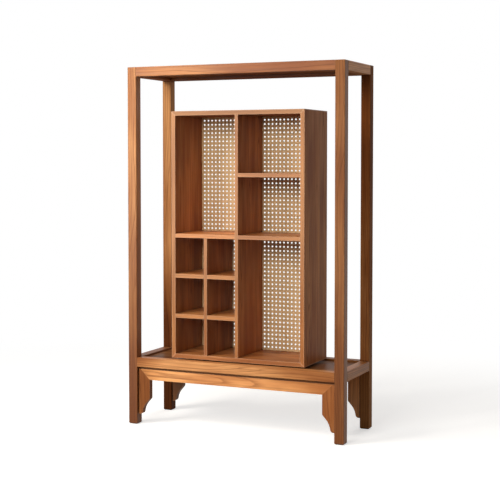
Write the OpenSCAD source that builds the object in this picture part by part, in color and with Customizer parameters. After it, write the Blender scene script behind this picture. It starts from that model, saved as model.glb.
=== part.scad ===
// Free-standing display stand: an open four-post frame on an aproned base,
// with a cane-backed cabinet of open compartments standing inside it.
// Millimetres, +Z up, front towards -Y, origin on the floor at the centre.

/* [Overall size] */
// Width of the outer frame
frame_w = 1027; // [900:1:1300]
// Depth of the outer frame
frame_d = 370; // [360:1:480]
// Height of the outer frame
frame_h = 1600; // [1500:1:2000]

/* [Outer frame] */
// Side of the square posts, and the width of the rails
post_t = 43; // [36:1:50]
// Height of the top and base rails
rail_h = 42; // [40:1:55]
// Radius of the eased edges of posts and rails
frame_edge_r = 2.5; // [1:0.5:5]
// Chamfer round the foot of a post
foot_chamfer = 5; // [1:0.5:8]
// Chamfer round the top of a post
head_chamfer = 1.5; // [0.5:0.5:3]

/* [Panels and battens] */
// Height of the base rails' top above the floor
base_top_z = 302; // [265:1:400]
// Thickness of the floating panels
panel_t = 18; // [16:1:20]
// How far a panel lies below the top of its rails
panel_drop = 9; // [4:0.5:10]
// Movement gap round the body of a panel
panel_gap = 1; // [0.5:0.5:2]
// Width of the battens under the base panel, and of the bearers above it
batten_w = 40; // [30:1:60]
// Thickness of the battens
batten_t = 15; // [12:1:15]

/* [Apron] */
// Height of an apron board
apron_h = 47; // [35:1:54]
// Thickness of aprons and spandrels
apron_t = 25; // [23:1:30]
// How far the aprons lie behind the face of the posts
apron_set_back = 12; // [4:1:14]
// Shadow gap between rail and apron
apron_reveal = 10; // [4:1:16]
// Shadow gap between post and spandrel
spandrel_reveal = 3; // [1:0.5:6]
// Distance from a post to the inner edge of its spandrel
spandrel_w = 58; // [54:1:80]
// Straight inner edge of a spandrel below the apron
spandrel_straight = 80; // [40:1:100]
// Radius of the rounded corner where the carving starts
carve_start_r = 12; // [6:1:14]
// Length of the slanting run below that corner
carve_slant = 20; // [10:1:22]
// Radius of the hollow of the carving
carve_hollow_r = 80; // [50:1:84]
// Radius of the rounded tip of a spandrel
carve_tip_r = 14; // [8:1:15]

/* [Cabinet] */
// Width of the cabinet
cab_w = 636; // [560:1:760]
// Height of the cabinet
cab_h = 1098; // [1000:1:1140]
// Depth of the cabinet
cab_d = 271; // [240:1:280]
// How far the cabinet stands behind the face of the posts
cab_set_back = 45; // [41:1:55]
// Thickness of the sides, the top and the bottom
carcass_t = 20; // [18:1:24]
// Thickness of the shelves
shelf_t = 18; // [16:1:22]
// Thickness of the upright dividers
divider_t = 16; // [14:1:20]
// Clear height of the lower bays
lower_bay_h = 518; // [420:1:560]
// Clear width of the left-hand cubbies
cubby_left_w = 140; // [110:1:160]
// Radius of the eased edges of boards
board_edge_r = 1.5; // [0.5:0.5:3]

/* [Bearers] */
// Thickness of the bearers that carry the cabinet
bearer_t = 12; // [10:1:20]
// Distance from the cabinet's side to the middle of a bearer
bearer_inset = 80; // [60:1:120]
// Distance from the cabinet's front and back to the ends of a bearer
bearer_end = 25; // [15:1:45]

/* [Cane back] */
// Width of the rabbet round the back of the carcass
rabbet_w = 10; // [8:1:12]
// Depth of that rabbet
rabbet_d = 6; // [5:0.5:9]
// Thickness of the cane sheet
cane_t = 2; // [1:0.5:3]
// How far the cane runs into the rabbet
cane_margin = 5; // [3:0.5:5]
// Largest spacing of the brads along the retaining strips
brad_pitch = 180; // [100:1:300]
// Shank diameter of a brad
brad_d = 1.4; // [1:0.1:2]
// Length of a brad
brad_l = 13; // [10:1:15]
// Head diameter of a brad
brad_head_d = 2.6; // [2.2:0.1:3.4]
// Head thickness of a brad
brad_head_t = 0.8; // [0.4:0.1:1.2]

/* [Joints] */
// Length of the tenons of the rails
tenon_l = 24; // [14:1:30]
// Thickness of those tenons
tenon_t = 12; // [8:1:16]
// Height of those tenons
tenon_h = 14; // [10:1:15]
// Wood left between a tenon and the nearest edge of its rail
tenon_edge = 5; // [3:0.5:6]
// Length of the tongues, and of the tenons of the battens
tongue_l = 7; // [4:1:8]
// Thickness of the tongues
tongue_t = 8; // [5:1:10]
// Depth of the housings that hold the shelves and dividers
housing_d = 4; // [2:1:5]
// Length at the front where a housing stops
housing_stop = 12; // [5:1:30]
// Gap beside a tongue, a tenon or a housed board
fit_gap = 0.15; // [0.05:0.05:0.3]
// Gap beyond the end of a tongue or a tenon
end_gap = 1; // [0.5:0.5:2]

/* [Dowels and screws] */
// Diameter of the dowels across the mitred corners of the carcass
dowel_d = 6; // [5:0.5:7]
// Length of those dowels
dowel_l = 20; // [14:1:22]
// Distance of a dowel's middle from the two outer faces of its corner
dowel_in = 12; // [11:0.5:13]
// Distance of the first dowel from the front of the carcass
dowel_end = 30; // [20:1:50]
// Dowels in one corner
dowel_count = 4; // [2:1:6]
// Shank diameter of the screws that hold the cabinet down
screw_d = 5; // [4:0.5:6]
// Head diameter of those screws
screw_head_d = 10; // [8:0.5:12]
// Head height of those screws
screw_head_h = 4; // [3:0.5:5]
// Width of the cross slots in their heads
screw_slot_w = 1.2; // [0.8:0.1:1.6]
// Length of such a screw in the bottom of the cabinet
screw_bite = 13; // [8:1:15]
// Distance of the screws from the cabinet's front and back
screw_end = 60; // [55:1:90]
// Gap round a dowel, a screw or a brad
hole_gap = 0.2; // [0.1:0.05:0.3]

/* [Hidden] */
$fn = 48;
eps = 0.01;
over = 1;

inner_w = frame_w - 2 * post_t;
inner_d = frame_d - 2 * post_t;
rail_bottom_z = base_top_z - rail_h;
panel_top_z = base_top_z - panel_drop;
batten_z = panel_top_z - panel_t - batten_t;

apron_top_z = rail_bottom_z - apron_reveal;
apron_bottom_z = apron_top_z - apron_h;
mitre_in_x = post_t + spandrel_w;
mitre_out_x = mitre_in_x - apron_h;
tongue_y = apron_set_back + (apron_t - tongue_t) / 2;
slant_angle = 42;
tip_angle = 8;
carved_edge = spandrel_edge();
spandrel_tip_z = carved_edge[len(carved_edge) - 1][1];

cab_x = (frame_w - cab_w) / 2;
cab_y = cab_set_back;
cab_z = panel_top_z + bearer_t;
cab_top_z = cab_z + cab_h;
inside_x = cab_x + carcass_t;
inside_w = cab_w - 2 * carcass_t;
inside_z = cab_z + carcass_t;
inside_top_z = cab_top_z - carcass_t;
board_d = cab_d - rabbet_d;
bay_w = (inside_w - divider_t) / 2;
divider_x = inside_x + bay_w;
right_bay_x = divider_x + divider_t;
main_shelf_z = inside_z + lower_bay_h;
upper_bay_z = main_shelf_z + shelf_t;
upper_shelf_z = (upper_bay_z + inside_top_z - shelf_t) / 2;
cubby_divider_x = inside_x + cubby_left_w;
cubby_h = (lower_bay_h - 2 * shelf_t) / 3;
cubby_shelf_z = [for (i = [0:1]) inside_z + (i + 1) * cubby_h + i * shelf_t];
left_shelves_z = concat(cubby_shelf_z, [main_shelf_z]);
right_shelves_z = [main_shelf_z, upper_shelf_z];

bearer_x = [cab_x + bearer_inset, cab_x + cab_w - bearer_inset];
screw_y = [cab_y + screw_end, cab_y + cab_d - screw_end];

cane_y = cab_y + board_d;
brad_edge = (cane_margin + rabbet_w) / 2;
brad_x = spread(inside_x + rabbet_w, inside_x + inside_w - rabbet_w);
brad_z = spread(inside_z + rabbet_w, inside_top_z - rabbet_w);

ash = [0.62, 0.36, 0.20];
ash_shade = [0.45, 0.25, 0.14];
straw = [0.82, 0.68, 0.48];
beech = [0.80, 0.66, 0.48];
steel = [0.72, 0.72, 0.74];

// Bars with eased long edges, each given by its lowest corner and its size

module eased_rect(w, h, r) {
  translate([r, 0]) square([w - 2 * r, h]);
  translate([0, r]) square([w, h - 2 * r]);
  for (u = [r, w - r], v = [r, h - r]) translate([u, v]) circle(r = r);
}

module bar_x(at, size, r) {
  translate(at) rotate([90, 0, 90]) linear_extrude(size[0]) eased_rect(size[1], size[2], r);
}

module bar_y(at, size, r) {
  translate([at[0], at[1] + size[1], at[2]]) rotate([90, 0, 0])
    linear_extrude(size[1]) eased_rect(size[0], size[2], r);
}

module bar_z(at, size, r) {
  translate(at) linear_extrude(size[2]) eased_rect(size[0], size[1], r);
}

// A square-edged box, and the same box made larger by a gap on every side to cut its seat
module box(at, size, gap = 0) {
  translate(at - [gap, gap, gap]) cube(size + 2 * [gap, gap, gap]);
}

// Shape with an outline in the XZ plane, from y to y + depth
module upright(outline, y, depth) {
  translate([0, y + depth, 0]) rotate([90, 0, 0]) linear_extrude(depth) polygon(outline);
}

// Pieces are drawn from the foot of the front left post, then moved to the origin
module placed() {
  translate([-frame_w / 2, -frame_d / 2, 0]) children();
}

// The same piece at another corner of the frame
module at_corner(right, back) {
  translate([right ? frame_w : 0, back ? frame_d : 0, 0])
    mirror([right ? 1 : 0, 0, 0]) mirror([0, back ? 1 : 0, 0]) children();
}

// Outer frame

// Tenons enter a post at two heights, so that they pass each other inside it: the front and
// back rails' in the upper half of the rail, the side rails' in the lower half.
// A longer tenon cuts the mortise, so that it stays clear of the end.
module long_tenon(top_z, extra = 0, gap = 0) {
  box([post_t - tenon_l - extra, (post_t - tenon_t) / 2, top_z - tenon_edge - tenon_h],
      [tenon_l + extra + eps, tenon_t, tenon_h], gap);
}

module side_tenon(top_z, extra = 0, gap = 0) {
  box([(post_t - tenon_t) / 2, post_t - tenon_l - extra, top_z - rail_h + tenon_edge],
      [tenon_t, tenon_l + extra + eps, tenon_h], gap);
}

module post_outline() {
  f = foot_chamfer;
  h = head_chamfer;
  polygon([[f, 0], [post_t - f, 0], [post_t, f], [post_t, frame_h - h],
           [post_t - h, frame_h], [h, frame_h], [0, frame_h - h], [0, f]]);
}

module post(right, back) {
  color(ash) placed() at_corner(right, back)
  difference() {
    intersection() {
      bar_z([0, 0, 0], [post_t, post_t, frame_h], frame_edge_r);
      translate([0, post_t, 0]) rotate([90, 0, 0]) linear_extrude(post_t) post_outline();
      rotate([90, 0, 90]) linear_extrude(post_t) post_outline();
    }
    for (top_z = [frame_h, base_top_z]) {
      long_tenon(top_z, end_gap, fit_gap);
      side_tenon(top_z, end_gap, fit_gap);
    }
    box([post_t - tongue_l - end_gap, tongue_y, spandrel_tip_z],
        [tongue_l + end_gap + over, tongue_t, apron_top_z - spandrel_tip_z], fit_gap);
  }
}

// Body of a floating panel, and the tongue that runs round it in the rails' grooves
function panel_tongue_z(top_z) = top_z - panel_drop - (panel_t + tongue_t) / 2;

module panel_tongue(top_z, extra = 0, gap = 0) {
  reach = tongue_l + panel_gap + extra;
  from = post_t + panel_gap;
  w = inner_w - 2 * panel_gap;
  d = inner_d - 2 * panel_gap;
  box([from - reach, from, panel_tongue_z(top_z)], [w + 2 * reach, d, tongue_t], gap);
  box([from, from - reach, panel_tongue_z(top_z)], [w, d + 2 * reach, tongue_t], gap);
}

module floating_panel(top_z) {
  bar_x([post_t + panel_gap, post_t + panel_gap, top_z - panel_drop - panel_t],
        [inner_w - 2 * panel_gap, inner_d - 2 * panel_gap, panel_t], board_edge_r);
  panel_tongue(top_z);
}

module long_rail(top_z, back) {
  color(ash) placed()
  difference() {
    at_corner(false, back) {
      bar_x([post_t, 0, top_z - rail_h], [inner_w, post_t, rail_h], frame_edge_r);
      for (right = [false, true]) at_corner(right, false) long_tenon(top_z);
    }
    panel_tongue(top_z, end_gap, fit_gap);
    if (top_z == base_top_z) {
      for (x = bearer_x) batten_tenons(x, end_gap, fit_gap);
      at_corner(false, back) apron_tongue(over, end_gap, fit_gap);
    }
  }
}

module side_rail(top_z, right) {
  color(ash) placed()
  difference() {
    at_corner(right, false) {
      bar_y([0, post_t, top_z - rail_h], [post_t, inner_d, rail_h], frame_edge_r);
      for (back = [false, true]) at_corner(false, back) side_tenon(top_z);
    }
    panel_tongue(top_z, end_gap, fit_gap);
  }
}

module top_panel() {
  color(ash_shade) placed() floating_panel(frame_h);
}

module base_panel() {
  color(ash_shade) placed()
  difference() {
    floating_panel(base_top_z);
    screw_holes();
  }
}

module batten_tenons(x, extra = 0, gap = 0) {
  reach = tongue_l + extra;
  box([x - batten_w / 4, post_t - reach, batten_z + batten_t / 4],
      [batten_w / 2, inner_d + 2 * reach, batten_t / 2], gap);
}

module base_batten(x) {
  color(ash_shade) placed()
  difference() {
    union() {
      box([x - batten_w / 2, post_t, batten_z], [batten_w, inner_d, batten_t]);
      batten_tenons(x);
    }
    screw_holes();
    for (y = screw_y) translate([x, y, batten_z]) screw_head(hole_gap);
  }
}

// Aprons and spandrels

// Tongue along the top of an apron: it shows in the shadow gap and enters the rail's groove
module apron_tongue(longer = 0, extra = 0, gap = 0) {
  box([post_t + fit_gap - longer, tongue_y, apron_top_z],
      [inner_w - 2 * fit_gap + 2 * longer, tongue_t, apron_reveal + tongue_l + extra], gap);
}

module apron(back) {
  color(ash) placed() at_corner(false, back) {
    upright([[mitre_in_x, apron_bottom_z], [frame_w - mitre_in_x, apron_bottom_z],
             [frame_w - mitre_out_x, apron_top_z], [mitre_out_x, apron_top_z]],
            apron_set_back, apron_t);
    apron_tongue();
  }
}

function arc(centre, r, from, to, steps) =
  [for (i = [0:steps]) let (a = from + (to - from) * i / steps) centre + r * [cos(a), sin(a)]];

// Carved edge of a spandrel, as [x, z] points from its straight edge down to its tip:
// a rounded corner, a slanting run, a hollow and a rounded tip
function spandrel_edge() =
  let (
    slant_dir = [sin(slant_angle), cos(slant_angle)],
    slant_normal = [cos(slant_angle), -sin(slant_angle)],
    tip_normal = [cos(tip_angle), -sin(tip_angle)],
    corner = [mitre_in_x - carve_start_r, apron_bottom_z - spandrel_straight],
    hollow_start = corner + carve_start_r * slant_normal - carve_slant * slant_dir,
    hollow = hollow_start + carve_hollow_r * slant_normal,
    tip = hollow - (carve_hollow_r + carve_tip_r) * tip_normal
  )
  concat(
    arc(corner, carve_start_r, 0, -slant_angle, 5),
    arc(hollow, carve_hollow_r, 180 - slant_angle, 180 - tip_angle, 8),
    arc(tip, carve_tip_r, -tip_angle, -90, 7)
  );

module spandrel(right, back) {
  left_x = post_t + spandrel_reveal;
  color(ash) placed() at_corner(right, back) {
    upright(concat([[left_x, apron_top_z], [mitre_out_x, apron_top_z], [mitre_in_x, apron_bottom_z]],
                   carved_edge, [[left_x, spandrel_tip_z]]),
            apron_set_back, apron_t);
    box([post_t - tongue_l, tongue_y, spandrel_tip_z + over],
        [spandrel_reveal + tongue_l + eps, tongue_t, apron_top_z - spandrel_tip_z - over]);
  }
}

// Cabinet

// Seat of a level board in an upright one whose face is at x
module shelf_housing(x, z) {
  box([x, cab_y + housing_stop, z], [housing_d, board_d - housing_stop + over, shelf_t], fit_gap);
}

// Seat of an upright board in a level one whose face is at z
module divider_housing(x, z) {
  box([x, cab_y + housing_stop, z], [divider_t, board_d - housing_stop + over, housing_d], fit_gap);
}

// Dowels across the mitres of the carcass, and their holes with a gap
module carcass_corner_dowels(gap = 0) {
  step = (board_d - 2 * dowel_end) / (dowel_count - 1);
  for (right = [false, true]) at_corner(right, false)
    for (i = [0:dowel_count - 1], top = [false, true]) {
      z = top ? cab_top_z - dowel_in : cab_z + dowel_in;
      translate([cab_x + dowel_in, cab_y + dowel_end + i * step, z]) rotate([0, top ? 45 : 135, 0])
        cylinder(d = dowel_d + 2 * gap, h = dowel_l + 2 * gap, center = true);
    }
}

// Places from one value to another, both included, at most brad_pitch apart
function spread(from, to) =
  let (n = ceil((to - from) / brad_pitch)) [for (i = [0:n]) from + (to - from) * i / n];

module brad(x, z, gap) {
  translate([x, cane_y + rabbet_d, z]) rotate([90, 0, 0]) {
    translate([0, 0, -gap]) cylinder(d = brad_head_d + 2 * gap, h = brad_head_t + gap);
    cylinder(d = brad_d + 2 * gap, h = brad_l + gap);
  }
}

module brads(gap = 0) {
  for (x = brad_x, z = [inside_z - brad_edge, inside_top_z + brad_edge]) brad(x, z, gap);
  for (z = brad_z, x = [inside_x - brad_edge, inside_x + inside_w + brad_edge]) brad(x, z, gap);
}

module rabbet() {
  box([inside_x - rabbet_w, cane_y, inside_z - rabbet_w],
      [inside_w + 2 * rabbet_w, rabbet_d + over, inside_top_z - inside_z + 2 * rabbet_w]);
}

// A carcass board: its child cut to an outline with mitred ends, and prepared at the back
module carcass_board(outline) {
  difference() {
    intersection() {
      children();
      upright(outline, cab_y, cab_d);
    }
    rabbet();
    carcass_corner_dowels(hole_gap);
    brads(hole_gap);
  }
}

module cabinet_side(right) {
  color(ash_shade) placed() at_corner(right, false)
  difference() {
    carcass_board([[cab_x, cab_z], [inside_x, inside_z], [inside_x, inside_top_z], [cab_x, cab_top_z]])
      bar_z([cab_x, cab_y, cab_z], [carcass_t, cab_d, cab_h], board_edge_r);
    for (z = right ? right_shelves_z : left_shelves_z) shelf_housing(inside_x - housing_d, z);
  }
}

module cabinet_top() {
  color(ash_shade) placed()
  difference() {
    carcass_board([[cab_x, cab_top_z], [inside_x, inside_top_z],
                   [inside_x + inside_w, inside_top_z], [cab_x + cab_w, cab_top_z]])
      bar_x([cab_x, cab_y, inside_top_z], [cab_w, cab_d, carcass_t], board_edge_r);
    divider_housing(divider_x, inside_top_z);
  }
}

module cabinet_bottom() {
  color(ash_shade) placed()
  difference() {
    carcass_board([[cab_x, cab_z], [inside_x, inside_z],
                   [inside_x + inside_w, inside_z], [cab_x + cab_w, cab_z]])
      bar_x([cab_x, cab_y, cab_z], [cab_w, cab_d, carcass_t], board_edge_r);
    for (x = [divider_x, cubby_divider_x]) divider_housing(x, inside_z - housing_d);
    screw_holes();
  }
}

// An upright board between two levels, whose ends reach into their housings behind the stop
module divider(x, from_z, to_z) {
  bar_z([x, cab_y, from_z], [divider_t, board_d, to_z - from_z], board_edge_r);
  box([x, cab_y + housing_stop, from_z - housing_d],
      [divider_t, board_d - housing_stop, to_z - from_z + 2 * housing_d]);
}

module main_divider() {
  color(ash_shade) placed()
  difference() {
    divider(divider_x, inside_z, inside_top_z);
    for (z = left_shelves_z) shelf_housing(divider_x, z);
    for (z = right_shelves_z) shelf_housing(right_bay_x - housing_d, z);
  }
}

// A level board across one bay, housed at both ends in the same way
module shelf(x, z) {
  bar_x([x, cab_y, z], [bay_w, board_d, shelf_t], board_edge_r);
  box([x - housing_d, cab_y + housing_stop, z], [bay_w + 2 * housing_d, board_d - housing_stop, shelf_t]);
}

module left_shelf() {
  color(ash_shade) placed()
  difference() {
    shelf(inside_x, main_shelf_z);
    divider_housing(cubby_divider_x, main_shelf_z);
  }
}

module right_shelf(z) {
  color(ash_shade) placed() shelf(right_bay_x, z);
}

// The cubby divider is slotted from the back and the cubby shelves from the front,
// each to half its depth, so that they slide into one another

module cubby_divider() {
  color(ash_shade) placed()
  difference() {
    divider(cubby_divider_x, inside_z, main_shelf_z);
    for (z = cubby_shelf_z)
      box([cubby_divider_x - over, cab_y + board_d / 2, z], [divider_t + 2 * over, board_d, shelf_t], fit_gap);
  }
}

module cubby_shelf(i) {
  z = cubby_shelf_z[i];
  color(ash_shade) placed()
  difference() {
    shelf(inside_x, z);
    box([cubby_divider_x, cab_y - over, z - over], [divider_t, board_d / 2 + over, shelf_t + 2 * over], fit_gap);
  }
}

// Cane sheet in the rabbet, and the strips that hold it there

module cane_panel() {
  color(straw) placed()
    box([inside_x - cane_margin, cane_y, inside_z - cane_margin],
        [inside_w + 2 * cane_margin, cane_t, inside_top_z - inside_z + 2 * cane_margin]);
}

module cane_strip(x, z, w, h) {
  color(ash_shade) placed()
  difference() {
    box([x + fit_gap, cane_y + cane_t, z + fit_gap], [w - 2 * fit_gap, rabbet_d - cane_t, h - 2 * fit_gap]);
    brads(hole_gap);
  }
}

module level_strip(z) {
  cane_strip(inside_x - rabbet_w, z, inside_w + 2 * rabbet_w, rabbet_w);
}

module upright_strip(x) {
  cane_strip(x, inside_z, rabbet_w, inside_top_z - inside_z);
}

module strip_brads() {
  color(steel) placed() brads();
}

// Bearers and fasteners

module cabinet_bearer(x) {
  color(ash_shade) placed()
  difference() {
    box([x - batten_w / 2, cab_y + bearer_end, panel_top_z], [batten_w, cab_d - 2 * bearer_end, bearer_t]);
    screw_holes();
  }
}

// Clearance holes from under the battens up to the ends of the screws
module screw_holes() {
  for (x = bearer_x, y = screw_y)
    translate([x, y, batten_z - eps])
      cylinder(d = screw_d + 2 * hole_gap, h = cab_z + screw_bite + hole_gap - batten_z + eps);
}

module screw_head(gap = 0) {
  translate([0, 0, -gap])
    cylinder(d1 = screw_head_d + 2 * gap, d2 = screw_d + 2 * gap, h = screw_head_h + gap);
}

module cabinet_screw() {
  difference() {
    union() {
      screw_head();
      cylinder(d = screw_d, h = cab_z + screw_bite - batten_z);
    }
    for (a = [0, 90]) rotate(a)
      translate([-screw_d / 2, -screw_slot_w / 2, -over]) cube([screw_d, screw_slot_w, over + screw_head_h / 2]);
  }
}

module cabinet_screws() {
  color(steel) placed()
    for (x = bearer_x, y = screw_y) translate([x, y, batten_z]) cabinet_screw();
}

module carcass_dowels() {
  color(beech) placed() carcass_corner_dowels();
}

post(false, false);  // post_front_left
post(true, false);  // post_front_right
post(false, true);  // post_back_left
post(true, true);  // post_back_right
long_rail(frame_h, false);  // top_rail_front
long_rail(frame_h, true);  // top_rail_back
side_rail(frame_h, false);  // top_rail_left
side_rail(frame_h, true);  // top_rail_right
long_rail(base_top_z, false);  // base_rail_front
long_rail(base_top_z, true);  // base_rail_back
side_rail(base_top_z, false);  // base_rail_left
side_rail(base_top_z, true);  // base_rail_right
top_panel();
base_panel();
base_batten(bearer_x[0]);  // base_batten_left
base_batten(bearer_x[1]);  // base_batten_right
apron(false);  // apron_front
apron(true);  // apron_back
spandrel(false, false);  // spandrel_front_left
spandrel(true, false);  // spandrel_front_right
spandrel(false, true);  // spandrel_back_left
spandrel(true, true);  // spandrel_back_right
cabinet_side(false);  // cabinet_side_left
cabinet_side(true);  // cabinet_side_right
cabinet_top();
cabinet_bottom();
main_divider();
left_shelf();
right_shelf(main_shelf_z);  // right_lower_shelf
right_shelf(upper_shelf_z);  // right_upper_shelf
cubby_divider();
cubby_shelf(0);  // cubby_shelf_lower
cubby_shelf(1);  // cubby_shelf_upper
cane_panel();
level_strip(inside_top_z);  // cane_strip_top
level_strip(inside_z - rabbet_w);  // cane_strip_bottom
upright_strip(inside_x - rabbet_w);  // cane_strip_left
upright_strip(inside_x + inside_w);  // cane_strip_right
cabinet_bearer(bearer_x[0]);  // cabinet_bearer_left
cabinet_bearer(bearer_x[1]);  // cabinet_bearer_right
cabinet_screws();
carcass_dowels();
strip_brads();
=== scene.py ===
import math

import bpy
from mathutils import Matrix, Vector


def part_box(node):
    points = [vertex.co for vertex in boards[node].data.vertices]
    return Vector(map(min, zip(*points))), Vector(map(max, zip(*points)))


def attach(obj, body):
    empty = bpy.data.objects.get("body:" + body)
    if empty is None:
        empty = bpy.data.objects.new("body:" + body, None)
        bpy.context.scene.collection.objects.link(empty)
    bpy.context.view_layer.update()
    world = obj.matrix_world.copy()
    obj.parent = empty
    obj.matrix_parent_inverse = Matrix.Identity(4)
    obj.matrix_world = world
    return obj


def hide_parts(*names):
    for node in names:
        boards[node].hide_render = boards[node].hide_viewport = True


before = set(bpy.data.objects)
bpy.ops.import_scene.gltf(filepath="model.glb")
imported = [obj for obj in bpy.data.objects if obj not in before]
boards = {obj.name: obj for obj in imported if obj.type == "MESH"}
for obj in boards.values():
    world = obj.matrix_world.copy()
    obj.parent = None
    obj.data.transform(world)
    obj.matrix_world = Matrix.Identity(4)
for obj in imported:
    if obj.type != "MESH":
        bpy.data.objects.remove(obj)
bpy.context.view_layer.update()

print("frame loaded:", len(boards), "pieces")

# camera, matched to the edges of the posts, rails and cabinet in the photograph

cameraSettings = {
    "place": (2.1790, -4.8171, 1.1831),
    "turn": 0.4244,  # about the upright axis, in radians
    "tilt": -0.0453,
    "lens": 85.765,
    "sensor": 36.0,
    "shiftUp": -0.07,
    "nearest": 0.05,
    "farthest": 60.0,
}


def placeCamera(settings):
    data = bpy.data.cameras.new("standCamera")
    data.lens = settings["lens"]
    data.sensor_width = settings["sensor"]
    data.shift_y = settings["shiftUp"]
    data.clip_start = settings["nearest"]
    data.clip_end = settings["farthest"]
    camera = bpy.data.objects.new("standCamera", data)
    camera.location = settings["place"]
    camera.rotation_euler = (math.pi / 2 + settings["tilt"], 0.0, settings["turn"])
    bpy.context.scene.collection.objects.link(camera)
    bpy.context.scene.camera = camera


placeCamera(cameraSettings)
bpy.context.scene.view_settings.view_transform = "Standard"
print("camera placed")


# small helpers for node trees


def addNode(tree, kind, inputs=None, **settings):
    node = tree.nodes.new(kind)
    for name, value in settings.items():
        setattr(node, name, value)
    for key, value in (inputs or {}).items():
        setInput(tree, node, key, value)
    return node


def setInput(tree, node, key, value):
    if isinstance(value, bpy.types.NodeSocket):
        tree.links.new(value, node.inputs[key])
    else:
        node.inputs[key].default_value = value


def calc(tree, operation, *values):
    return addNode(tree, "ShaderNodeMath", dict(enumerate(values)), operation=operation).outputs[0]


def calcVector(tree, operation, *values):
    return addNode(tree, "ShaderNodeVectorMath", dict(enumerate(values)), operation=operation).outputs[0]


def joinAxes(tree, x=0.0, y=0.0, z=0.0):
    return addNode(tree, "ShaderNodeCombineXYZ", {0: x, 1: y, 2: z}).outputs[0]


def splitAxes(tree, vector):
    return addNode(tree, "ShaderNodeSeparateXYZ", {0: vector}).outputs


def vectorLength(tree, vector):
    return addNode(tree, "ShaderNodeVectorMath", {0: vector}, operation="LENGTH").outputs["Value"]


def fromTo(tree, value, low, high, newLow=0.0, newHigh=1.0):
    places = {"Value": value, "From Min": low, "From Max": high, "To Min": newLow, "To Max": newHigh}
    return addNode(tree, "ShaderNodeMapRange", places, clamp=True, interpolation_type="SMOOTHSTEP").outputs[0]


def blendColour(tree, factor, first, second):
    node = addNode(tree, "ShaderNodeMix", data_type="RGBA")
    # 0, 6 and 7 are the factor and the two colours of this kind of mix, and 2 is what comes out
    for key, value in ((0, factor), (6, first), (7, second)):
        setInput(tree, node, key, value)
    return node.outputs[2]


def grainNoise(tree, place, stretch, detail=2.0, colour=False):
    vector = calcVector(tree, "MULTIPLY", place, stretch)
    node = addNode(tree, "ShaderNodeTexNoise", {"Vector": vector, "Scale": 1.0, "Detail": detail})
    return node.outputs[1 if colour else 0]


def emptyMaterial(name):
    material = bpy.data.materials.new(name)
    material.use_nodes = True
    material.node_tree.nodes.clear()
    return material, material.node_tree


def finishMaterial(tree, inputs):
    shader = addNode(tree, "ShaderNodeBsdfPrincipled", inputs)
    addNode(tree, "ShaderNodeOutputMaterial", {"Surface": shader.outputs[0]})


# the figure of a sawn board: growth rings, fibres, pores and stain, with the grain along Z,
# the board's width along X and its thickness along Y

figureSettings = {
    "ringWidth": 0.0068,
    "ringUnrest": 0.35,  # how far the fibres fray the rings, in rings
    "porousStart": (0.0, 0.08),  # the part of a ring over which its porous wood starts
    "porousEnd": (0.42, 0.0),  # and fades out, read backwards
    "faintestRing": 0.35,
    "wander": 0.075,  # how far the heart of the log strays along a board
    "wanderStretch": (4.5, 4.5, 1.15),
    "fibreStretch": (190.0, 190.0, 3.2),
    "poreStretch": (820.0, 820.0, 26.0),
    "stainStretch": (11.0, 11.0, 2.1),
    "fibreNoise": (0.62, 0.3),  # the values of the noise where each mask starts and is full
    "poreNoise": (0.55, 0.68),
    "stainNoise": (0.33, 0.68),
    "staveShift": (0.9, 0.0, 3.0),  # how far the noise moves from stave to stave, at most
    "staveSlide": 2.7,  # and how much further along the grain
    "staveTones": (0.9, 1.08),
    "poresOutside": 0.2,  # how much of the pores shows outside the porous wood
    "fibreDark": 0.34,
    "ringDark": 0.62,
    "poreDark": 0.55,
    "dull": 0.34,
    "ringDull": 0.10,
    "fibreDull": 0.16,
    "fibreRise": 0.25,
    "poreDip": 0.9,
    "ringDip": 0.35,
}


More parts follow.
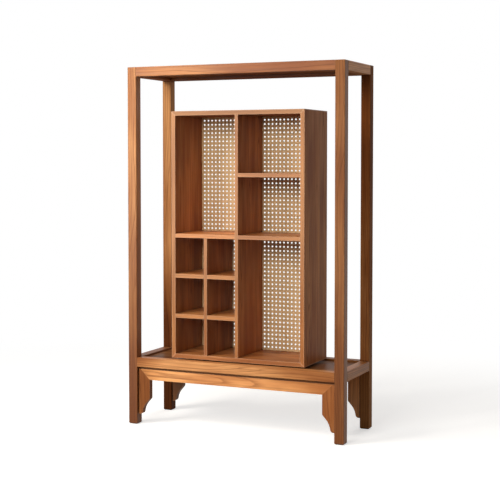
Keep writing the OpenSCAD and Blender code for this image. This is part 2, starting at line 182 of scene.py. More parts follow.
def makeBoardFigure(settings):
    tree = bpy.data.node_groups.new("boardFigure", "ShaderNodeTree")
    face = tree.interface
    for name, kind in (("Place", "Vector"), ("Heart", "Vector"), ("Stave Width", "Float"), ("Tone", "Float"),
                       ("Light Wood", "Color"), ("Middle Wood", "Color"), ("Dark Wood", "Color")):
        face.new_socket(name, in_out="INPUT", socket_type="NodeSocket" + kind)
    for name, kind in (("Colour", "Color"), ("Roughness", "Float"), ("Height", "Float")):
        face.new_socket(name, in_out="OUTPUT", socket_type="NodeSocket" + kind)
    given = addNode(tree, "NodeGroupInput").outputs
    # wide boards are glued up from staves, each with its own figure
    along = splitAxes(tree, given["Place"])
    staveNumber = calc(tree, "FLOOR", calc(tree, "DIVIDE", along[0], given["Stave Width"]))
    staveRandom = addNode(tree, "ShaderNodeTexWhiteNoise", {"W": staveNumber}, noise_dimensions="1D").outputs
    staveShift = calcVector(tree, "MULTIPLY", staveRandom[1], settings["staveShift"])
    staveMiddle = calc(tree, "MULTIPLY", calc(tree, "ADD", staveNumber, 0.5), given["Stave Width"])
    local = joinAxes(tree, calc(tree, "SUBTRACT", along[0], staveMiddle), along[1], along[2])
    slide = calc(tree, "MULTIPLY", staveRandom[0], settings["staveSlide"])
    place = calcVector(tree, "ADD", local, joinAxes(tree, z=slide))
    wild = calcVector(tree, "ADD", place, staveShift)
    # rings round a heart that strays, so that flat faces show arches and edges show lines
    stray = grainNoise(tree, wild, settings["wanderStretch"], detail=1.5, colour=True)
    stray = calcVector(tree, "SUBTRACT", stray, (0.5, 0.5, 0.5))
    stray = calcVector(tree, "MULTIPLY", stray, (settings["wander"], settings["wander"], 0.0))
    heart = calcVector(tree, "ADD", calcVector(tree, "SUBTRACT", place, given["Heart"]), stray)
    far = vectorLength(tree, calcVector(tree, "MULTIPLY", heart, (1.0, 1.0, 0.0)))
    fibre = grainNoise(tree, wild, settings["fibreStretch"], detail=3.0)
    rings = calc(tree, "ADD", calc(tree, "DIVIDE", far, settings["ringWidth"]),
                 calc(tree, "MULTIPLY", fibre, settings["ringUnrest"]))
    part = calc(tree, "FRACT", rings)
    ringRandom = addNode(tree, "ShaderNodeTexWhiteNoise", {"W": calc(tree, "FLOOR", rings)},
                         noise_dimensions="1D").outputs[0]
    early = calc(tree, "MULTIPLY", fromTo(tree, part, *settings["porousEnd"]),
                 fromTo(tree, part, *settings["porousStart"]))
    early = calc(tree, "MULTIPLY", early, fromTo(tree, ringRandom, 0.0, 1.0, settings["faintestRing"], 1.0))
    pores = fromTo(tree, grainNoise(tree, wild, settings["poreStretch"]), *settings["poreNoise"])
    share = calc(tree, "MULTIPLY", early, 1.0 - settings["poresOutside"])
    pores = calc(tree, "MULTIPLY", pores, calc(tree, "ADD", share, settings["poresOutside"]))
    stain = grainNoise(tree, wild, settings["stainStretch"], detail=3.0)
    stain = fromTo(tree, stain, *settings["stainNoise"])
    # colour
    wood = blendColour(tree, stain, given["Middle Wood"], given["Light Wood"])
    thread = fromTo(tree, fibre, *settings["fibreNoise"])
    for mask, strength in ((thread, "fibreDark"), (early, "ringDark"), (pores, "poreDark")):
        wood = blendColour(tree, calc(tree, "MULTIPLY", mask, settings[strength]), wood, given["Dark Wood"])
    staveTone = fromTo(tree, staveRandom[0], 0.0, 1.0, *settings["staveTones"])
    tone = calc(tree, "MULTIPLY", given["Tone"], staveTone)
    wood = addNode(tree, "ShaderNodeVectorMath", {0: wood, "Scale": tone}, operation="SCALE").outputs[0]
    # the finish is a little duller in the open pores
    dull = calc(tree, "ADD", calc(tree, "MULTIPLY", early, settings["ringDull"]),
                calc(tree, "MULTIPLY", fibre, settings["fibreDull"]))
    dull = calc(tree, "ADD", dull, settings["dull"])
    height = calc(tree, "SUBTRACT", calc(tree, "MULTIPLY", fibre, settings["fibreRise"]),
                  calc(tree, "MULTIPLY", pores, settings["poreDip"]))
    height = calc(tree, "SUBTRACT", height, calc(tree, "MULTIPLY", early, settings["ringDip"]))
    addNode(tree, "NodeGroupOutput", {"Colour": wood, "Roughness": dull, "Height": height})
    return tree


boardFigure = makeBoardFigure(figureSettings)

standWood = {
    "light": (0.600, 0.250, 0.082, 1.0),
    "middle": (0.360, 0.118, 0.032, 1.0),
    "dark": (0.150, 0.044, 0.014, 1.0),
    # paler colour of eased edges, a painted highlight and partly wear; also the painted light on the
    # cabinet's front edges
    "edge": (0.620, 0.290, 0.125, 1.0),
    "staveWidth": 0.092,
    "specular": 0.12,
    "coat": 0.0,
    "coatRoughness": 0.18,
    "bump": 0.22,
    "edgeWidth": 0.0028,
    "edgeHighlightAndWear": 0.34,
    "frontPaintedLight": (0.0, 0.0),  # painted light on the cabinet's front edges: how much paler they are low on the cabinet, and high on it
}

# the cabinet's eased edges get a wider and paler painted highlight
cabinetWood = dict(standWood, specular=0.10, edge=(0.660, 0.420, 0.270, 1.0), edgeWidth=0.007, edgeHighlightAndWear=0.60,
                   frontPaintedLight=(0.04, 0.28))
# a paler, yellower copy of the stand's wood for the boards the light falls on most: partly golden wood,
# partly painted light
goldenLitWood = dict(standWood, light=(0.640, 0.310, 0.118, 1.0), middle=(0.400, 0.158, 0.052, 1.0),
                  edge=(0.650, 0.330, 0.155, 1.0))
panelWood = dict(standWood, coat=0.04, coatRoughness=0.1)
hiddenWood = dict(standWood, light=(0.560, 0.330, 0.170, 1.0), middle=(0.450, 0.250, 0.120, 1.0),
                  dark=(0.270, 0.130, 0.055, 1.0), edge=(0.620, 0.400, 0.220, 1.0))


# tones of single boards: partly a darker or paler plank, partly painted light and shade, which makes the
# right-hand and shaded back boards darker and the boards in the light paler
plankAndLightTones = {
    "post_front_left": 1.02, "post_front_right": 0.60, "post_back_right": 0.66, "post_back_left": 0.90,
    "top_rail_front": 0.88, "top_rail_right": 1.50, "apron_front": 1.62, "base_rail_front": 1.28,
    "spandrel_front_left": 0.80, "spandrel_front_right": 0.96, "spandrel_back_left": 0.42,
    "base_rail_right": 0.84, "base_rail_left": 0.60, "base_rail_back": 0.60, "base_panel": 0.44,
    "cabinet_side_left": 0.96, "cabinet_side_right": 1.08, "cabinet_top": 0.78, "left_shelf": 1.60,
    "right_upper_shelf": 1.14, "right_lower_shelf": 1.14, "main_divider": 1.06,
    "cubby_shelf_upper": 1.10, "cubby_shelf_lower": 1.10, "cubby_divider": 1.06, "cabinet_bottom": 1.06,
}

# painted shade towards one end of some boards, for darker feet, darker rail ends and the shaded top of the
# back right post:
# the axis (0 for X, 2 for Z), where that end is, where the change is over, and the tone at the end
paintedEndShade = {
    "post_front_left": ((2, 0.0, 1.35, 0.43),), "post_back_left": ((2, 0.38, 0.80, 0.28),),
    "post_back_right": ((2, 1.60, 0.50, 0.70),), "spandrel_front_left": ((2, 0.0, 1.15, 0.80),),
    "top_rail_front": ((0, 0.50, -0.25, 0.72), (0, -0.50, -0.42, 0.85)),
    "base_rail_front": ((0, 0.50, -0.05, 0.62), (0, -0.50, -0.30, 0.58)),
    "apron_front": ((0, 0.50, 0.05, 0.74), (0, -0.50, -0.30, 0.58)),
}

# boards that are polished more than the rest of their kind, or less
boardGloss = {
    "post_front_left": 0.21, "post_front_right": 0.15, "post_back_left": 0.03, "post_back_right": 0.01,
    "top_rail_front": 0.34, "top_rail_right": 0.12, "base_rail_front": 0.12, "base_rail_right": 0.12,
    "apron_front": 0.12, "spandrel_front_left": 0.08, "spandrel_front_right": 0.10,
    "cabinet_side_right": 0.04, "top_panel": 0.04, "base_panel": 0.03,
}

boardSettings = {
    "leastTone": 0.95,  # of the boards that plankAndLightTones doesn't name
    "toneSpread": 0.10,
    "toneStep": 0.381966,
    "grainStep": 1.37,  # along the grain, from one board to the next
    "squareUpTo": 1.3,  # width by thickness of what is cut as a square bar
    "heartOfSquare": (0.055, 0.048, 0.0),
    "heartBelow": 0.030,  # how deep the heart lies below a flat board, at least
    "heartDeeper": 0.006,  # steps from one flat board to the next
    "heartAcross": 0.004,
    "stavesFrom": 0.15,  # width from which a board is glued up
    "oneStave": 4.0,
    "shadeGreen": 1.35,  # powers by which deeper painted shade at a board's end takes out more green and blue
    "shadeBlue": 1.8,
    "rubbedBend": (0.995, 0.86),  # cosines of the bend where the paler edge, a painted highlight and partly wear, starts and is full
    "cornerReach": 0.016,
    "cornerOpen": (0.80, 0.25),  # how open a corner is where the painted shade starts and is full
    "cornerShadeStrength": 0.75,
    "cornerShadeColour": (0.040, 0.014, 0.006, 1.0),
    "frontFacing": (-0.9, -0.98),  # the Y of a normal where a face starts to be a front, and is one
    "underFacing": (-0.6, -0.95),  # its Z, the same for undersides
    "frontPaintedLightHeights": (0.35, 0.95),  # between them the painted light on the cabinet's front edges grows
    "underShade": 0.5,
    "underDull": 0.5,
    "rubbedShine": 0.07,
    "reliefDepth": 0.0006,
}


def boardPlace(tree, name, number, look, place, settings):
    # coordinates for the figure, where the log's heart lies in them, and the width of a stave
    low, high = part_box(name)
    size = high - low
    thick, wide, long = sorted(range(3), key=lambda axis: size[axis])
    centred = {"Vector": place, "Location": tuple(-(low + high) / 2)}
    axes = splitAxes(tree, addNode(tree, "ShaderNodeMapping", centred).outputs[0])
    along = calc(tree, "ADD", axes[long], settings["grainStep"] * number)
    turned = joinAxes(tree, axes[wide], axes[thick], along)
    if size[wide] < settings["squareUpTo"] * size[thick]:
        heart = settings["heartOfSquare"]
    else:
        below = settings["heartBelow"] + settings["heartDeeper"] * (number % 4)
        heart = (settings["heartAcross"] * (number % 5 - 2), below, 0.0)
    staves = round(size[wide] / look["staveWidth"]) if size[wide] > settings["stavesFrom"] else 0
    staveWidth = size[wide] / staves if staves else settings["oneStave"]
    # an even number of staves meets in the middle of the board
    shift = 0.0 if staves and staves % 2 == 0 else staveWidth / 2
    return calcVector(tree, "ADD", turned, (shift, 0.0, 0.0)), heart, staveWidth


def boardWood(name, number, look, settings):
    material, tree = emptyMaterial(name + "_wood")
    place = addNode(tree, "ShaderNodeTexCoord").outputs["Object"]
    whole = splitAxes(tree, place)
    turned, heart, staveWidth = boardPlace(tree, name, number, look, place, settings)
    oddTone = settings["leastTone"] + settings["toneSpread"] * ((number * settings["toneStep"]) % 1.0)
    figure = addNode(tree, "ShaderNodeGroup", {
        "Place": turned, "Heart": heart, "Stave Width": staveWidth, "Tone": plankAndLightTones.get(name, oddTone),
        "Light Wood": look["light"], "Middle Wood": look["middle"], "Dark Wood": look["dark"],
    }, node_tree=boardFigure)
    colour = figure.outputs["Colour"]
    # painted shade towards the ends listed in paintedEndShade, taking out more green and blue
    for axis, end, over, endShade in paintedEndShade.get(name, ()):
        stain = fromTo(tree, whole[axis], end, over, endShade, 1.0)
        shadeTint = joinAxes(tree, stain, calc(tree, "POWER", stain, settings["shadeGreen"]),
                        calc(tree, "POWER", stain, settings["shadeBlue"]))
        colour = calcVector(tree, "MULTIPLY", colour, shadeTint)
    # eased edges turn paler, a painted highlight and partly wear, and the corners of the joints get painted
    # shade
    eased = addNode(tree, "ShaderNodeBevel", {"Radius": look["edgeWidth"]}, samples=4).outputs[0]
    true = addNode(tree, "ShaderNodeNewGeometry").outputs["True Normal"]
    bend = addNode(tree, "ShaderNodeVectorMath", {0: eased, 1: true}, operation="DOT_PRODUCT")
    wornAndLitEdge = fromTo(tree, bend.outputs["Value"], *settings["rubbedBend"])
    colour = blendColour(tree, calc(tree, "MULTIPLY", wornAndLitEdge, look["edgeHighlightAndWear"]), colour, look["edge"])
    # painted shade: darker colour in the corners of the joints and in recesses
    corner = addNode(tree, "ShaderNodeAmbientOcclusion", {"Distance": settings["cornerReach"]}, samples=6)
    cornerShade = fromTo(tree, corner.outputs["AO"], *settings["cornerOpen"], 0.0, settings["cornerShadeStrength"])
    colour = blendColour(tree, cornerShade, colour, settings["cornerShadeColour"])
    facing = splitAxes(tree, true)
    # painted light: the cabinet's front faces turn paler, more so higher up
    if any(look["frontPaintedLight"]):
        front = fromTo(tree, facing[1], *settings["frontFacing"])
        pale = fromTo(tree, whole[2], *settings["frontPaintedLightHeights"], *look["frontPaintedLight"])
        colour = blendColour(tree, calc(tree, "MULTIPLY", front, pale), colour, look["edge"])
    # undersides get painted shade and are left unpolished
    under = fromTo(tree, facing[2], *settings["underFacing"])
    colour = blendColour(tree, calc(tree, "MULTIPLY", under, settings["underShade"]), colour, look["dark"])
    shine = calc(tree, "MULTIPLY", wornAndLitEdge, settings["rubbedShine"])
    rough = calc(tree, "SUBTRACT", figure.outputs["Roughness"], shine)
    rough = calc(tree, "ADD", rough, calc(tree, "MULTIPLY", under, settings["underDull"]))
    relief = addNode(tree, "ShaderNodeBump", {
        "Strength": look["bump"], "Distance": settings["reliefDepth"], "Height": figure.outputs["Height"]})
    finishMaterial(tree, {
        "Base Color": colour, "Roughness": rough, "Normal": relief.outputs[0],
        "Specular IOR Level": boardGloss.get(name, look["specular"]),
        "Coat Weight": look["coat"], "Coat Roughness": look["coatRoughness"]})
    return material


steelSettings = {
    "wornStretch": (420.0, 420.0, 420.0),
    "dark": (0.50, 0.49, 0.47, 1.0),
    "bright": (0.66, 0.65, 0.62, 1.0),
    "roughness": (0.26, 0.44),
    "bump": 0.15,
    "reliefDepth": 0.0001,
}


def steelFinish(name, settings):
    material, tree = emptyMaterial(name)
    place = addNode(tree, "ShaderNodeTexCoord").outputs["Object"]
    worn = grainNoise(tree, place, settings["wornStretch"], detail=4.0)
    colour = blendColour(tree, fromTo(tree, worn, 0.35, 0.7), settings["dark"], settings["bright"])
    rough = fromTo(tree, worn, 0.3, 0.7, *settings["roughness"])
    relief = addNode(tree, "ShaderNodeBump", {
        "Strength": settings["bump"], "Distance": settings["reliefDepth"], "Height": worn}).outputs[0]
    finishMaterial(tree, {"Base Color": colour, "Metallic": 1.0, "Roughness": rough, "Normal": relief})
    return material


def dress(name, material):
    slots = boards[name].material_slots
    if not slots:
        boards[name].data.materials.append(material)
    for one in slots:
        one.material = material


cabinetBoards = ("cabinet_", "main_", "left_", "right_", "cubby_", "top_panel")
# boards that get the golden wood with its painted light
goldenLitBoards = ("post_front_left", "post_back_left", "apron_front", "base_rail_front", "top_rail_right")
unseen = ("base_batten", "cabinet_bearer", "cane_strip", "carcass_dowels")
fastenings = ("cabinet_screws", "strip_brads")


def woodOf(name):
    if name.startswith(unseen):
        return hiddenWood
    if name.startswith(cabinetBoards):
        return cabinetWood
    if name in goldenLitBoards:
        return goldenLitWood
    return panelWood if name == "base_panel" else standWood


steel = steelFinish("brightSteel", steelSettings)
for number, name in enumerate(sorted(boards)):
    if name in fastenings:
        dress(name, steel)
    elif name != "cane_panel":
        dress(name, boardWood(name, number, woodOf(name), boardSettings))
print("boards dressed")


# the cane back: upright and level strands in pairs, and slanting strands that cross between them

caneSettings = {
    "columns": 32,
    "rows": 56,
    "pairGap": 0.0055,
    "strandWidth": 0.0049,
    "slantWidth": 0.0060,
    "strandThickness": 0.0006,
    "lift": 0.00065,
    "slantLift": 0.00058,
    "stepsPerHole": 4.0,  # points of a strand in each hole it passes
    "uprightSeed": 3,
    "levelSeed": 8,
    "risingSeed": 5,
    "fallingSeed": 11,
    "sharpFrom": 50,  # degrees
    "straw": (0.740, 0.500, 0.260, 1.0),
    "paleStraw": (0.860, 0.640, 0.380, 1.0),
    "agedStraw": (0.560, 0.345, 0.155, 1.0),
    "sideShadeColour": (0.290, 0.165, 0.070, 1.0),
    "knotColour": (0.280, 0.150, 0.060, 1.0),
    "ageing": 0.45,
    "sideShade": 0.65,
    "knotDark": 0.6,
    "thinFrom": 0.66,  # of the way from the middle of a strand to its side
    "streakStretch": (2.6, 14.0, 90.0),  # across a strand, along it, and from one to the next
    "streakScale": 1.6,
    "streakNoise": (0.32, 0.68),
    "knotsPerMetre": 3.1,
    "knotShift": 40.0,  # from one strand to the next
    "knotLength": 0.016,  # as a part of the way from knot to knot
    "roughness": (0.34, 0.5),
    "bump": 0.3,
    "reliefDepth": 0.0002,
    "specular": 0.05,
}


def caneFinish(settings):
    material, tree = emptyMaterial("splitCane")
    tone, run, side = (addNode(tree, "ShaderNodeAttribute", attribute_name=name).outputs["Fac"]
                       for name in ("strandTone", "strandRun", "strandSide"))
    place = calcVector(tree, "MULTIPLY", joinAxes(tree, side, run, tone), settings["streakStretch"])
    streak = addNode(tree, "ShaderNodeTexNoise", {
        "Vector": place, "Scale": settings["streakScale"], "Detail": 4.0}).outputs[0]
    knotPlace = calc(tree, "ADD", calc(tree, "MULTIPLY", run, settings["knotsPerMetre"]),
                     calc(tree, "MULTIPLY", tone, settings["knotShift"]))
    knot = fromTo(tree, calc(tree, "FRACT", knotPlace), settings["knotLength"], 0.0)
    knot = calc(tree, "MULTIPLY", knot, settings["knotDark"])
    pale = fromTo(tree, streak, *settings["streakNoise"])
    aged = fromTo(tree, tone, 0.0, 1.0, 0.0, settings["ageing"])
    # painted shade: each strand turns darker towards its thin sides, between it and the strands it crosses
    thin = fromTo(tree, side, settings["thinFrom"], 1.0, 0.0, settings["sideShade"])
    colour = blendColour(tree, pale, settings["straw"], settings["paleStraw"])
    colour = blendColour(tree, aged, colour, settings["agedStraw"])
    colour = blendColour(tree, thin, colour, settings["sideShadeColour"])
    colour = blendColour(tree, knot, colour, settings["knotColour"])
    rough = fromTo(tree, streak, 0.3, 0.7, *settings["roughness"])
    relief = addNode(tree, "ShaderNodeBump", {
        "Strength": settings["bump"], "Distance": settings["reliefDepth"], "Height": streak}).outputs[0]
    finishMaterial(tree, {
        "Base Color": colour, "Roughness": rough, "Normal": relief,
        "Specular IOR Level": settings["specular"]})
    return material


cane = caneFinish(caneSettings)


def newTree(name, sizes):
    tree = bpy.data.node_groups.new(name, "GeometryNodeTree")
    tree.interface.new_socket("Geometry", in_out="OUTPUT", socket_type="NodeSocketGeometry")
    for key, value in sizes.items():
        kind = "NodeSocketInt" if isinstance(value, int) else "NodeSocketFloat"
        tree.interface.new_socket(key, in_out="INPUT", socket_type=kind)
    return tree, addNode(tree, "NodeGroupInput").outputs


def change(tree, kind, geometry, inputs, slot="Geometry", **settings):
    # one more step on a geometry
    return addNode(tree, kind, {slot: geometry, **inputs}, **settings).outputs[0]


def store(tree, geometry, name, value, domain="POINT"):
    inputs = {"Name": name, "Value": value}
    return change(tree, "GeometryNodeStoreNamedAttribute", geometry, inputs, domain=domain)


def sweepStrands(tree, given, curves):
    # gives each strand a flat lens section, and its tone and run for the finish
    number = addNode(tree, "GeometryNodeInputIndex").outputs[0]
    tone = addNode(tree, "FunctionNodeRandomValue", {"ID": number, "Seed": given["Seed"]}, data_type="FLOAT")
    curves = store(tree, curves, "strandTone", tone.outputs[1], "CURVE")
    run = addNode(tree, "GeometryNodeSplineParameter").outputs["Length"]
    curves = store(tree, curves, "strandRun", run)
    curves = change(tree, "GeometryNodeSetCurveNormal", curves, {}, "Curve", mode="Z_UP")
    section = addNode(tree, "GeometryNodeCurvePrimitiveQuadrilateral", mode="KITE")
    half = calc(tree, "MULTIPLY", given["Thickness"], 0.5)
    for key, value in (("Width", given["Width"]), ("Bottom Height", half), ("Top Height", half)):
        setInput(tree, section, key, value)
    # 0 along the middle of a strand and 1 at its thin sides
    side = calc(tree, "MODULO", addNode(tree, "GeometryNodeInputIndex").outputs[0], 2.0)
    section = store(tree, section.outputs[0], "strandSide", side)
    profile = {"Profile Curve": section, "Fill Caps": True}
    mesh = change(tree, "GeometryNodeCurveToMesh", curves, profile, "Curve")
    mesh = change(tree, "GeometryNodeRealizeInstances", mesh, {})
    mesh = change(tree, "GeometryNodeSetMaterial", mesh, {"Material": cane})
    addNode(tree, "NodeGroupOutput", {"Geometry": mesh})


def straightStrands(sizes):
    # pairs of strands along Y, which rise and fall once in each hole of the weave
    tree, given = newTree("straightStrands", sizes)
    half = calc(tree, "MULTIPLY", given["Pair Gap"], 0.5)
    pair = addNode(tree, "GeometryNodeJoinGeometry")
    lines = []
    for way in (-1.0, 1.0):
        x = calc(tree, "MULTIPLY", half, way)
        start, end = (joinAxes(tree, x, calc(tree, "MULTIPLY", given["Length"], part))
                      for part in (-0.5, 0.5))
        line = addNode(tree, "GeometryNodeCurvePrimitiveLine", {"Start": start, "End": end}).outputs[0]
        lines.append(store(tree, line, "way", way))
    for line in lines:
        tree.links.new(line, pair.inputs[0])
    pitch = given["Pair Pitch"]
    span = calc(tree, "MULTIPLY", calc(tree, "SUBTRACT", given["Pairs"], 1.0), pitch)
    first = calc(tree, "MULTIPLY", span, -0.5)
    row = addNode(tree, "GeometryNodeMeshLine", {
        "Count": given["Pairs"], "Start Location": joinAxes(tree, first), "Offset": joinAxes(tree, pitch),
    }, mode="OFFSET").outputs[0]
    many = change(tree, "GeometryNodeInstanceOnPoints", row, {"Instance": pair.outputs[0]}, "Points")
    many = change(tree, "GeometryNodeRealizeInstances", many, {})
    steps = calc(tree, "ADD", calc(tree, "MULTIPLY", given["Holes"], caneSettings["stepsPerHole"]), 1.0)
    many = change(tree, "GeometryNodeResampleCurve", many, {"Count": steps}, "Curve", mode="COUNT")
    way = addNode(tree, "GeometryNodeInputNamedAttribute", {"Name": "way"}, data_type="FLOAT").outputs[0]
    part = addNode(tree, "GeometryNodeSplineParameter").outputs["Factor"]
    turn = calc(tree, "MULTIPLY", calc(tree, "MULTIPLY", part, given["Holes"]), 2 * math.pi)
    lift = calc(tree, "MULTIPLY", calc(tree, "MULTIPLY", calc(tree, "SINE", turn), way), given["Lift"])
    lift = calc(tree, "MULTIPLY", lift, -1.0)
    many = change(tree, "GeometryNodeSetPosition", many, {"Offset": joinAxes(tree, z=lift)})
    sweepStrands(tree, given, many)
    return tree


def slantStrands(sizes):
    # strands from edge to edge through the middles between the crossings of the pairs
    tree, given = newTree("slantStrands", sizes)
    columns, rows = given["Columns"], given["Rows"]
    across, up = given["Column Pitch"], given["Row Pitch"]
    count = calc(tree, "ADD", columns, rows)
    dots = addNode(tree, "GeometryNodeMeshLine", {"Count": count}, mode="OFFSET").outputs[0]
    number = addNode(tree, "GeometryNodeInputIndex").outputs[0]
    away = calc(tree, "ADD", calc(tree, "SUBTRACT", number, rows), 0.5)
    startU = calc(tree, "MAXIMUM", away, 0.0)
    startV = calc(tree, "MAXIMUM", calc(tree, "MULTIPLY", away, -1.0), 0.0)
    cells = calc(tree, "MINIMUM", calc(tree, "SUBTRACT", columns, startU),
                 calc(tree, "SUBTRACT", rows, startV))
    begin = joinAxes(tree, calc(tree, "MULTIPLY", startU, across), calc(tree, "MULTIPLY", startV, up))
    dots = store(tree, dots, "cells", cells)
    dots = change(tree, "GeometryNodeSetPosition", dots, {"Position": begin})
    line = addNode(tree, "GeometryNodeCurvePrimitiveLine", {"End": (1.0, 1.0, 0.0)}).outputs[0]
    kept = addNode(tree, "GeometryNodeInputNamedAttribute", {"Name": "cells"}, data_type="FLOAT").outputs[0]
    scale = joinAxes(tree, calc(tree, "MULTIPLY", kept, across), calc(tree, "MULTIPLY", kept, up), 1.0)
    many = change(tree, "GeometryNodeInstanceOnPoints", dots, {"Instance": line, "Scale": scale}, "Points")
    many = change(tree, "GeometryNodeRealizeInstances", many, {})
    steps = calc(tree, "ADD", calc(tree, "MULTIPLY", kept, caneSettings["stepsPerHole"]), 1.0)
    many = change(tree, "GeometryNodeResampleCurve", many, {"Count": steps}, "Curve", mode="COUNT")
    x = splitAxes(tree, addNode(tree, "GeometryNodeInputPosition").outputs[0])[0]
    turn = calc(tree, "MULTIPLY", calc(tree, "DIVIDE", x, across), 2 * math.pi)
    lift = calc(tree, "MULTIPLY", calc(tree, "MULTIPLY", calc(tree, "COSINE", turn), given["Lift"]), -1.0)
    corner = joinAxes(tree, calc(tree, "MULTIPLY", columns, across), calc(tree, "MULTIPLY", rows, up))
    back = calcVector(tree, "MULTIPLY", corner, (-0.5, -0.5, 0.0))
    offset = calcVector(tree, "ADD", back, joinAxes(tree, z=lift))
    many = change(tree, "GeometryNodeSetPosition", many, {"Offset": offset})
    sweepStrands(tree, given, many)
    return tree


def growMesh(name, tree, sizes):
    # runs a tree once and keeps what it makes as a plain mesh
    holder = bpy.data.objects.new(name + "_maker", bpy.data.meshes.new(name + "_maker"))
    bpy.context.scene.collection.objects.link(holder)
    modifier = holder.modifiers.new("strands", "NODES")
    modifier.node_group = tree
    for item in tree.interface.items_tree:
        if item.item_type == "SOCKET" and item.in_out == "INPUT":
            modifier[item.identifier] = sizes[item.name]
    seen = holder.evaluated_get(bpy.context.evaluated_depsgraph_get())
    mesh = bpy.data.meshes.new_from_object(seen)
    mesh.name = name
    bpy.data.objects.remove(holder)
    return mesh


def addPiece(name, mesh, body, sharpFrom):
    piece = bpy.data.objects.new(name, mesh)
    bpy.context.scene.collection.objects.link(piece)
    mesh.shade_smooth()
    mesh.set_sharp_from_angle(angle=math.radians(sharpFrom))
    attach(piece, body)
    return piece


def weaveCane(settings):
    low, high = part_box("cane_panel")
    width, _, tall = high - low
    columns, rows = settings["columns"], settings["rows"]
    across, up = width / columns, tall / rows
    stand = Matrix.Translation((low + high) / 2) @ Matrix.Rotation(math.pi / 2, 4, "X")
    common = {"Pair Gap": settings["pairGap"], "Width": settings["strandWidth"],
              "Thickness": settings["strandThickness"], "Lift": settings["lift"]}
    upright = {**common, "Pairs": columns, "Holes": rows, "Pair Pitch": across, "Length": tall,
               "Seed": settings["uprightSeed"]}
    level = {**common, "Pairs": rows, "Holes": columns, "Pair Pitch": up, "Length": width,
             "Seed": settings["levelSeed"]}
    slant = {"Columns": columns, "Rows": rows, "Column Pitch": across, "Row Pitch": up,
             "Width": settings["slantWidth"], "Thickness": settings["strandThickness"],
             "Lift": settings["slantLift"], "Seed": settings["risingSeed"]}
    falling = dict(slant, Seed=settings["fallingSeed"])
    straight = straightStrands(upright)
    slanting = slantStrands(slant)
    for name, tree, sizes, turn in (
        ("cane_upright_strands", straight, upright, Matrix.Identity(4)),
        ("cane_level_strands", straight, level, Matrix.Rotation(math.pi / 2, 4, "Z")),
        ("cane_rising_strands", slanting, slant, Matrix.Identity(4)),
        ("cane_falling_strands", slanting, falling, Matrix.Rotation(math.pi, 4, "Y")),
    ):
        mesh = growMesh(name, tree, sizes)
        mesh.transform(stand @ turn)
        piece = addPiece(name, mesh, "root", settings["sharpFrom"])
        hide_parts("cane_panel")
        print(name, len(mesh.polygons), "faces")


weaveCane(caneSettings)
print("cane woven")


# floor, backdrop and lights

studioSettings = {
    "floorSize": 24.0,
    "floorColour": (0.80, 0.795, 0.785, 1.0),
    "bounceColour": (0.34, 0.335, 0.325, 1.0),
    "glow": 0.52,
    "fadeStart": 1.1,  # the floor turns to the white of the backdrop between these distances
    "fadeEnd": 2.9,
    "skyColour": (1.0, 0.98, 0.96, 1.0),
    "skyStrength": 0.25,
    "aim": (0.0, 0.0, 0.85),
    # place, size, power and colour of each light, and whether it shows in the gloss and nowhere else
    "lights": {
        "keyLight": ((-1.6, -2.2, 2.4), 1.3, 74.0, (1.0, 0.95, 0.88), False),
        "frontLight": ((0.0, -4.2, 2.2), 1.4, 90.0, (1.0, 0.96, 0.90), False),
        "backLight": ((0.5, 4.2, 2.2), 2.4, 45.0, (1.0, 0.98, 0.95), False),
        "sheenLight": ((-3.0, -4.9, 1.1), 1.8, 130.0, (1.0, 1.0, 1.0), True),
    },
}
white = (1.0, 1.0, 1.0, 1.0)


def seenDirectly(tree):
    # 1 for what the camera sees, straight or in a gloss or glass
    path = addNode(tree, "ShaderNodeLightPath").outputs
    seen = calc(tree, "MAXIMUM", path["Is Camera Ray"], path["Is Glossy Ray"])
    return calc(tree, "MAXIMUM", seen, path["Is Transmission Ray"])


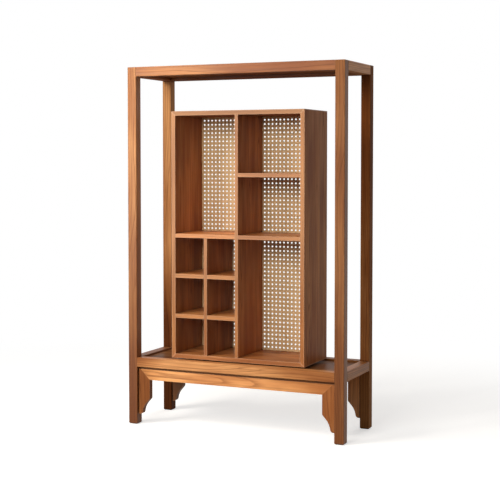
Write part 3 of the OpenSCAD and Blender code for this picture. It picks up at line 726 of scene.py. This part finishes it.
def layFloor(settings):
    half = settings["floorSize"] / 2
    mesh = bpy.data.meshes.new("floor")
    corners = [(-half, -half, 0), (half, -half, 0), (half, half, 0), (-half, half, 0)]
    mesh.from_pydata(corners, [], [(0, 1, 2, 3)])
    floor = bpy.data.objects.new("floor", mesh)
    bpy.context.scene.collection.objects.link(floor)
    material, tree = emptyMaterial("paleFloor")
    matt = addNode(tree, "ShaderNodeBsdfDiffuse", {"Color": settings["floorColour"]}).outputs[0]
    glow = addNode(tree, "ShaderNodeEmission", {"Color": white, "Strength": settings["glow"]}).outputs[0]
    near = addNode(tree, "ShaderNodeAddShader", {0: matt, 1: glow}).outputs[0]
    backdrop = addNode(tree, "ShaderNodeEmission", {"Color": white, "Strength": 1.0}).outputs[0]
    far = vectorLength(tree, addNode(tree, "ShaderNodeTexCoord").outputs["Object"])
    fade = fromTo(tree, far, settings["fadeStart"], settings["fadeEnd"])
    shown = addNode(tree, "ShaderNodeMixShader", {0: fade, 1: near, 2: backdrop}).outputs[0]
    bounce = addNode(tree, "ShaderNodeBsdfDiffuse", {"Color": settings["bounceColour"]}).outputs[0]
    surface = addNode(tree, "ShaderNodeMixShader", {0: seenDirectly(tree), 1: bounce, 2: shown}).outputs[0]
    addNode(tree, "ShaderNodeOutputMaterial", {"Surface": surface})
    mesh.materials.append(material)


def hangSky(settings):
    world = bpy.data.worlds.new("studioWorld")
    bpy.context.scene.world = world
    world.use_nodes = True
    tree = world.node_tree
    tree.nodes.clear()
    soft, plain = (addNode(tree, "ShaderNodeBackground", {"Color": colour, "Strength": strength}).outputs[0]
                   for colour, strength in ((settings["skyColour"], settings["skyStrength"]), (white, 1.0)))
    mixed = addNode(tree, "ShaderNodeMixShader", {0: seenDirectly(tree), 1: soft, 2: plain}).outputs[0]
    addNode(tree, "ShaderNodeOutputWorld", {"Surface": mixed})


def hangLights(settings):
    for name, (place, size, power, colour, glossOnly) in settings["lights"].items():
        data = bpy.data.lights.new(name, "AREA")
        data.shape = "SQUARE"
        data.size = size
        data.energy = power
        data.color = colour
        light = bpy.data.objects.new(name, data)
        light.location = place
        aim = Vector(settings["aim"]) - Vector(place)
        light.rotation_euler = aim.to_track_quat("-Z", "Y").to_euler()
        light.visible_diffuse = not glossOnly
        light.visible_glossy = glossOnly
        bpy.context.scene.collection.objects.link(light)


layFloor(studioSettings)
hangSky(studioSettings)
hangLights(studioSettings)
print("studio lit")
